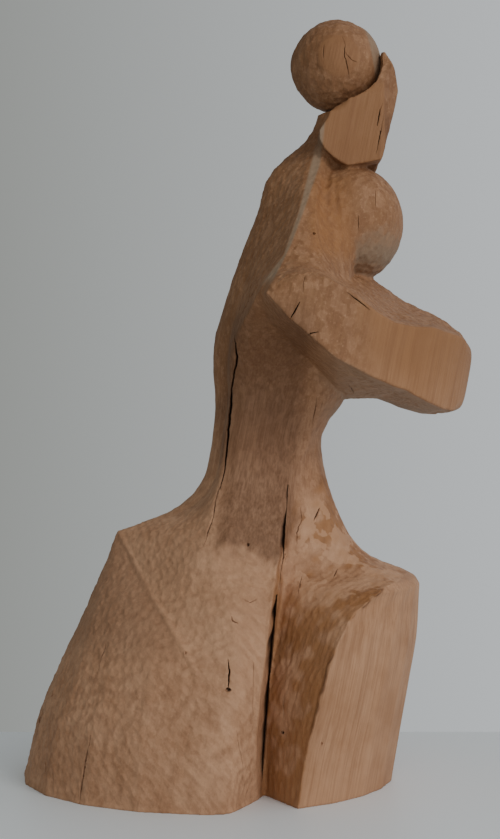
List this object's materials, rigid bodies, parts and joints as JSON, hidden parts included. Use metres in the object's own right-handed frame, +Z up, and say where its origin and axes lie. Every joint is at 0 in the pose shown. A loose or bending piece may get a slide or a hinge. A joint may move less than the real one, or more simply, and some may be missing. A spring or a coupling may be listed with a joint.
{
  "type": "carved wooden figure",
  "caption": "Abstract faceless standing woman carved from one leaning log: ball hair bun, face block, bust, forearms held forward, narrow waist and a wide slotted skirt.",
  "frame": {"origin": "middle of the log's flat foot, on the surface that the figure stands on", "axes": "+X the way she faces, +Y her left side, +Z up along her height"},
  "size_m": [0.3569, 0.268, 0.5999],
  "materials": {
    "carved_wood": "bare fruitwood left with shallow gouge cuts, dry and unvarnished",
    "smooth_wood": "bare fruitwood with the log's own smooth outer surface and straight upright grain"
  },
  "bodies": {
    "root": {"hair_bun": "carved_wood", "face_block": "smooth_wood", "neck": "carved_wood", "bust": "carved_wood", "back": "carved_wood", "right_shoulder": "carved_wood", "left_shoulder": "carved_wood", "right_forearm": "smooth_wood", "left_forearm": "smooth_wood", "waist": "carved_wood", "rear_skirt": "carved_wood", "front_skirt": "smooth_wood"}
  },
  "joints": []
}
